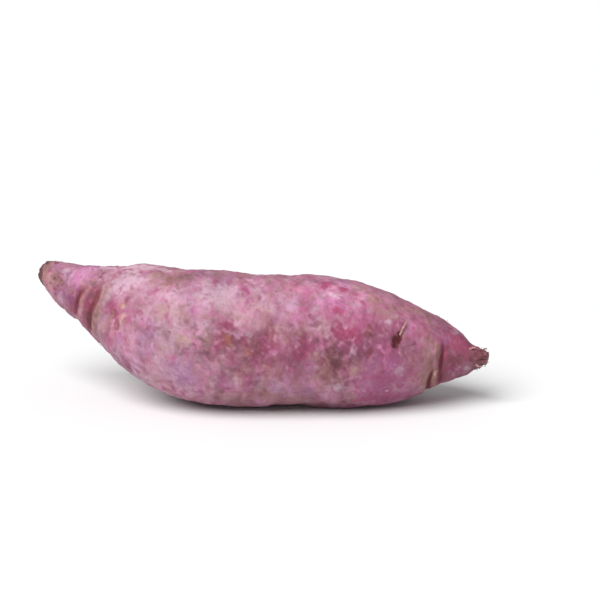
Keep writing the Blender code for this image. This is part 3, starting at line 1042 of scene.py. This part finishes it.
# An olive tan, also used for painted shadow on the top edge.
OLIVE_AND_PAINTED_SHADOW = rgb(0.22, 0.115, 0.100)
GROOVE = rgb(0.150, 0.028, 0.038)
PIT = rgb(0.090, 0.010, 0.014)
WOOD = rgb(0.22, 0.105, 0.095)
RIM = rgb(0.085, 0.028, 0.027)
TAIL = rgb(0.17, 0.060, 0.075)
TORN = rgb(0.115, 0.037, 0.042)
ROOT_PALE = rgb(0.42, 0.24, 0.23)
ROOT_TAN = rgb(0.26, 0.12, 0.11)
ROOT_WOOD = rgb(0.16, 0.075, 0.065)
FLOOR_WHITE = rgb(0.72, 0.72, 0.72)

# Clouds of colour, from the broadest to the finest: the colour, the broad mask that calls for more
# of it, the size in mm, where it starts and where it is full, and its strength.
Cloud = namedtuple("Cloud", "colour mask size start full strength")
CLOUDS = [
    Cloud(TAWNY, "tawny", 14.0, 0.00, 0.26, 0.85),
    Cloud(LILAC, "mist", 12.0, -0.02, 0.24, 0.85),
    Cloud(PINK, "blush", 12.0, 0.02, 0.22, 0.80),
    Cloud(MAGENTA, "flush", 13.0, 0.02, 0.26, 0.80),
    Cloud(SHADED, "speckle", 11.0, 0.00, 0.26, 0.60),
    Cloud(BLEACHED, "mist", 8.0, -0.04, 0.30, 0.60),
    Cloud(SHADED, "speckle", 6.5, -0.02, 0.30, 0.55),
    Cloud(MAGENTA, "flush", 6.0, -0.02, 0.28, 0.50),
    Cloud(TAWNY, "tawny", 6.0, -0.02, 0.30, 0.60),
    Cloud(PINK, "blush", 5.0, -0.02, 0.30, 0.35),
    Cloud(BLEACHED, "mist", 3.2, 0.00, 0.30, 0.20),
    Cloud(SHADED, "speckle", 2.8, 0.00, 0.28, 0.30),
]
# The marks, from the one laid first to the one on top: the mask, the colour and its strength.
MARK_PAINTS = [
    ("flush", MAGENTA, 0.22),
    ("orchid", ORCHID, 0.5),
    ("violet", VIOLET, 0.75),
    ("rose", ROSE, 0.9),
    ("crimson", CRIMSON, 0.75),
    ("plum", PLUM, 0.9),
    ("maroon", MAROON, 0.9),
    ("tail", TAIL, 0.5),
    ("torn", TORN, 0.8),
    # The pale marks: bloom, and painted rim highlight and painted bounce light.
    ("pale", BLOOM_AND_PAINTED_LIGHT, 0.8),
    ("cream", CREAM, 0.8),
    ("tan", CORK, 0.85),
    ("rust", RUST, 0.8),
    # The olive marks: olive patches, and painted shadow on the top edge.
    ("olive", OLIVE_AND_PAINTED_SHADOW, 0.8),
    ("dark", STAIN, 0.75),
    ("pore", CREAM, 0.35),
    ("crown", WOOD, 0.85),
    ("rim", RIM, 0.9),
]
CLOUD_PUSH = 0.16  # how much a full mask adds to a cloud's noise
FLECK_PUSH = 0.10  # and to the dark flecks'
CRUMBLE = 0.95  # how much the marks' edges crumble
PAINTED_SHADE_AND_TONE_DARKENING = 0.20  # how much darker a full deep mask makes the skin, as painted shade and darker tone
PAINTED_LIGHT_AND_TONE_LIGHTENING = 0.14  # and how much lighter a full light mask does, as painted light and lighter tone
ACROSS = (0.75, 1.12, 1.12)  # the clouds are shorter along the root than round it
RINGS = (0.5, 2.5, 2.5)  # the fine wrinkles run round it
NOISE_STEP = (7.3, 3.1, 5.7)  # how far each seed moves a noise


def new_material(name, roughness, specular):
    """A material and its shader."""
    material = bpy.data.materials.new(name)
    material.use_nodes = True
    shader = material.node_tree.nodes["Principled BSDF"]
    shader.inputs["Roughness"].default_value = roughness
    shader.inputs["Specular IOR Level"].default_value = specular
    return material, shader


def place_on(material):
    """A material's Object coordinates in mm."""
    place = Paint(material.node_tree, None).add("ShaderNodeTexCoord", {}, {}, "Object")
    return place.scaled((1 / MM, 1 / MM, 1 / MM))


def clouded(place):
    """The base under its clouds and its dark flecks: each shows where its noise, pushed up by its
    mask, is above its start."""
    colour = BASE
    for seed, row in enumerate(CLOUDS, start=1):
        field = place.noise(row.size, seed, stretch=ACROSS, detail=1.0) + place.mask(row.mask) * CLOUD_PUSH
        colour = (field.rise(row.start, row.full) * row.strength).over(colour, row.colour)
    flecks = place.noise(2.8, 30, stretch=(1.2, 0.9, 0.9), detail=1.5)
    flecks = flecks + place.mask("speckle") * FLECK_PUSH
    return (flecks.rise(0.06, 0.28) * 0.40).over(colour, STAIN)


def marked(place, colour, crumble):
    """The colour with the stains of the creases, the marks and the pale rolls beside the creases
    laid over it. The pale marks hold painted highlight and painted bounce light as well as bloom,
    and the olive marks painted shadow as well as olive patches. A mark's cover is its mask, which
    noise crumbles."""
    rings = place.noise(1.6, 29, stretch=RINGS)
    stain = place.mask("stain") + rings * 0.4
    colour = (stain.rise(0.05, 0.7) * 0.8).over(colour, MAROON)
    for label, paint, strength in MARK_PAINTS:
        cover = (place.mask(label) * (CRUMBLE + crumble * CRUMBLE)).rise(0.05, 0.85)
        colour = (cover * strength).over(colour, paint)
    ridge = place.mask("ridge") * (0.9 + rings * 2.0)
    return (ridge.rise(0.1, 0.7) * 0.6).over(colour, RIDGE)


def shaded(place, colour):
    """The colour with broad and fine changes of shade, the painted shade and painted light of the deep and
    light masks, and the dark of the grooves and pits.
    """
    shade = 1.0 + place.noise(10.0, 34, detail=0.5) * 0.6
    # The deep and light masks: painted shade and painted light, with darker and lighter tone.
    shade = shade - place.mask("deep") * PAINTED_SHADE_AND_TONE_DARKENING + place.mask("light") * PAINTED_LIGHT_AND_TONE_LIGHTENING
    grain = shade + place.noise(1.4, 31, stretch=ACROSS) * 0.45 + place.noise(0.5, 32) * 0.12
    groove = place.mask("groove") + place.noise(1.6, 29, stretch=RINGS) * 0.3
    colour = (groove.rise(0.35, 0.95) * 0.85).over(colour.dimmed(grain), GROOVE)
    return place.mask("pit").rise(0.2, 0.7).over(colour, PIT)


def skin_material():
    """The skin: clouds and crumbs of pink, lilac, magenta and tan, with the marks laid over, some of
    them painted light and painted shade, dry and finely rough."""
    material, shader = new_material("sweet_potato_skin", 0.6, 0.35)
    place = place_on(material)
    crumble = place.noise(2.2, 28, detail=1.0) + place.noise(0.9, 27) * 0.5
    shaded(place, marked(place, clouded(place), crumble)).feed(shader.inputs["Base Color"])
    rough = 0.62 + crumble * 0.2 + place.mask("pale") * 0.06
    rough.feed(shader.inputs["Roughness"])
    relief = place.noise(0.9, 9, detail=3.0) + place.noise(0.45, 10, stretch=ACROSS) * 0.6
    bump = place.add("ShaderNodeBump", {}, {"Strength": 0.5, "Distance": 0.0002, "Height": relief})
    bump.feed(shader.inputs["Normal"])
    return material


def add_skin():
    """The skin stands for the whole CAD root. Returns how far it was moved to be in its place."""
    points, masks = skin_surface()
    shift = to_place(points)
    skin = new_piece("skin", [points + shift], skin_material())
    for label, values in masks.items():
        put_mask(skin, label, [values])
    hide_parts("tuber")
    return shift


ROOT_DEPTH = 1.4  # how deep a side root starts under the skin
ROOT_TAPER = 0.45  # the end's radius over the start's
ROOT_TIP = 8  # the rounded tip is the length over this
ROOT_SWAY = Ripple(0.5, 2.6, 70)  # how the path strays, over the radius, with its first seed
ROOT_KNOBS = Ripple(0.12, 1.0, 90)  # how the thickness strays, as a share of it
ROOT_RINGS = 30
ROOT_SIDES = 14

# Hair roots: each place is the first and the last station, and the number of them.
HAIR_SEED = 71
HAIR_PLACES = [(84.0, 89.0, 22), (-72.0, -60.0, 5), (66.0, 80.0, 7)]
HAIR_TURN = (-30, 30)
HAIR_RUN = (0.5, 2.4)
HAIR_HEIGHT = (0.3, 1.1)
HAIR_RADIUS = (0.10, 0.2)


def side_root(row, number):
    """A tapered tube as a grid of rings, which rises out of the skin and leans over along it. Its
    path climbs as a quarter of a sine wave and strays a little."""
    step = np.linspace(0, 1, ROOT_RINGS)
    x = row.x + row.run * step
    around = row.around + row.turn * step
    radius = RADIUS(x)[0]
    relief = swells(x, around, radius) + creases(x, around, 0)[0] + pits(x, around, radius)[0]
    rise = (row.height + ROOT_DEPTH) * np.sin(step * math.pi / 2) ** 0.8 - ROOT_DEPTH
    path = plain_point(x, around, 1.0, solid_share(radius) * relief + rise)
    sway = ROOT_SWAY.height * ripple(path[:, None], ROOT_SWAY.size, ROOT_SWAY.seed + number)
    path = path + row.radius * step[:, None] * sway
    ahead = unit(np.gradient(path, axis=0))
    out = path[-1] - frame_at(x[-1:])[0][0]
    tall = unit(np.cross(ahead, np.cross(out, path[-1] - path[0])))
    wide = np.cross(tall, ahead)
    knobs = ROOT_KNOBS.height * ripple(path, ROOT_KNOBS.size, ROOT_KNOBS.seed + number)
    thick = row.radius * (1 - (1 - ROOT_TAPER) * step) * (1 + knobs)
    thick = thick * np.sqrt(np.clip((1 - step) * ROOT_TIP, 0, 1))
    angle = np.arange(ROOT_SIDES) * 2 * math.pi / ROOT_SIDES
    ring = np.cos(angle)[:, None] * wide[:, None] + np.sin(angle)[:, None] * tall[:, None]
    grid = path[:, None] + thick[:, None, None] * ring
    grid[0] = path[0]
    return grid


def hair_roots():
    """Hair roots at random on the tail's torn end and in the creases."""
    draw = np.random.default_rng(HAIR_SEED)
    rows = []
    for first, last, count in HAIR_PLACES:
        for _ in range(count):
            x, around, turn = draw.uniform(first, last), draw.uniform(0, 360), draw.uniform(*HAIR_TURN)
            run, height = draw.uniform(*HAIR_RUN), draw.uniform(*HAIR_HEIGHT)
            rows.append(SideRoot(x, around, run, turn, height, draw.uniform(*HAIR_RADIUS)))
    return rows


def side_root_material():
    """Dry and pale, tan and pink, with a fine darker mottle. The hair roots are woody."""
    material, shader = new_material("side_root_skin", 0.7, 0.25)
    place = place_on(material)
    colour = (place.noise(0.8, 41).rise(-0.12, 0.2) * 0.8).over(ROOT_PALE, ROOT_TAN)
    colour = (place.mask("woody") * 0.85).over(colour, ROOT_WOOD)
    colour.dimmed(1.0 + place.noise(0.3, 42) * 0.4).feed(shader.inputs["Base Color"])
    return material


def add_side_roots(shift):
    """The short side roots and the hair roots, as one piece."""
    rows = SIDE_ROOTS + hair_roots()
    grids = [side_root(row, number) + shift for number, row in enumerate(rows)]
    piece = new_piece("side_roots", grids, side_root_material())
    woody = np.arange(len(rows)) >= len(SIDE_ROOTS)
    put_mask(piece, "woody", [np.full(grid.shape[:2], share) for grid, share in zip(grids, woody)])


FLOOR_WIDTH = 6.0
FLOOR_DROP = 0.0001  # how far the floor lies below the root
AIM = Vector((15.9, -3.15, 42.4)) * MM  # the point that the camera looks at, and how far it is
DISTANCE = 0.9
ELEVATION = 15.0
LENS = 135.0
SENSOR = 36.0
KEY_FROM = (-0.5, -0.55, 0.9)  # the way to the light
KEY_WIDTH = 50.0  # how wide the light looks from the root, in degrees
KEY_LIGHT = 4.0
ROOM_LIGHT = 0.45


def add_floor():
    """A plain pale floor, just under the root."""
    half = FLOOR_WIDTH / 2
    corners = [(x * half, y * half, -FLOOR_DROP) for x, y in ((-1, -1), (1, -1), (1, 1), (-1, 1))]
    mesh = bpy.data.meshes.new("floor")
    mesh.from_pydata(corners, [], [(0, 1, 2, 3)])
    material, shader = new_material("floor_paint", 0.9, 0.1)
    shader.inputs["Base Color"].default_value = FLOOR_WHITE
    mesh.materials.append(material)
    floor = bpy.data.objects.new("floor", mesh)
    bpy.context.scene.collection.objects.link(floor)


def add_light():
    """One wide soft light from above, a little from the left and the front, in a pale room."""
    world = bpy.data.worlds.new("white_room")
    world.use_nodes = True
    background = world.node_tree.nodes["Background"]
    background.inputs["Color"].default_value = rgb(1, 1, 1)
    background.inputs["Strength"].default_value = ROOM_LIGHT
    bpy.context.scene.world = world
    light = bpy.data.lights.new("key", "SUN")
    light.energy = KEY_LIGHT
    light.angle = math.radians(KEY_WIDTH)
    lamp = bpy.data.objects.new("key", light)
    lamp.rotation_euler = Vector(KEY_FROM).to_track_quat("Z", "Y").to_euler()
    bpy.context.scene.collection.objects.link(lamp)
    bpy.context.scene.view_settings.view_transform = "Standard"


def add_camera():
    """The camera looks along +Y and down by ELEVATION degrees, at the photograph's angle."""
    camera = bpy.data.cameras.new("camera")
    camera.sensor_width = SENSOR
    camera.lens = LENS
    holder = bpy.data.objects.new("camera", camera)
    tilt = math.radians(ELEVATION)
    away = Vector((0, -math.cos(tilt), math.sin(tilt)))
    holder.location = AIM + away * DISTANCE
    holder.rotation_euler = (-away).to_track_quat("-Z", "Y").to_euler()
    bpy.context.scene.collection.objects.link(holder)
    bpy.context.scene.camera = holder


shift = add_skin()
add_side_roots(shift)
add_floor()
add_light()
add_camera()
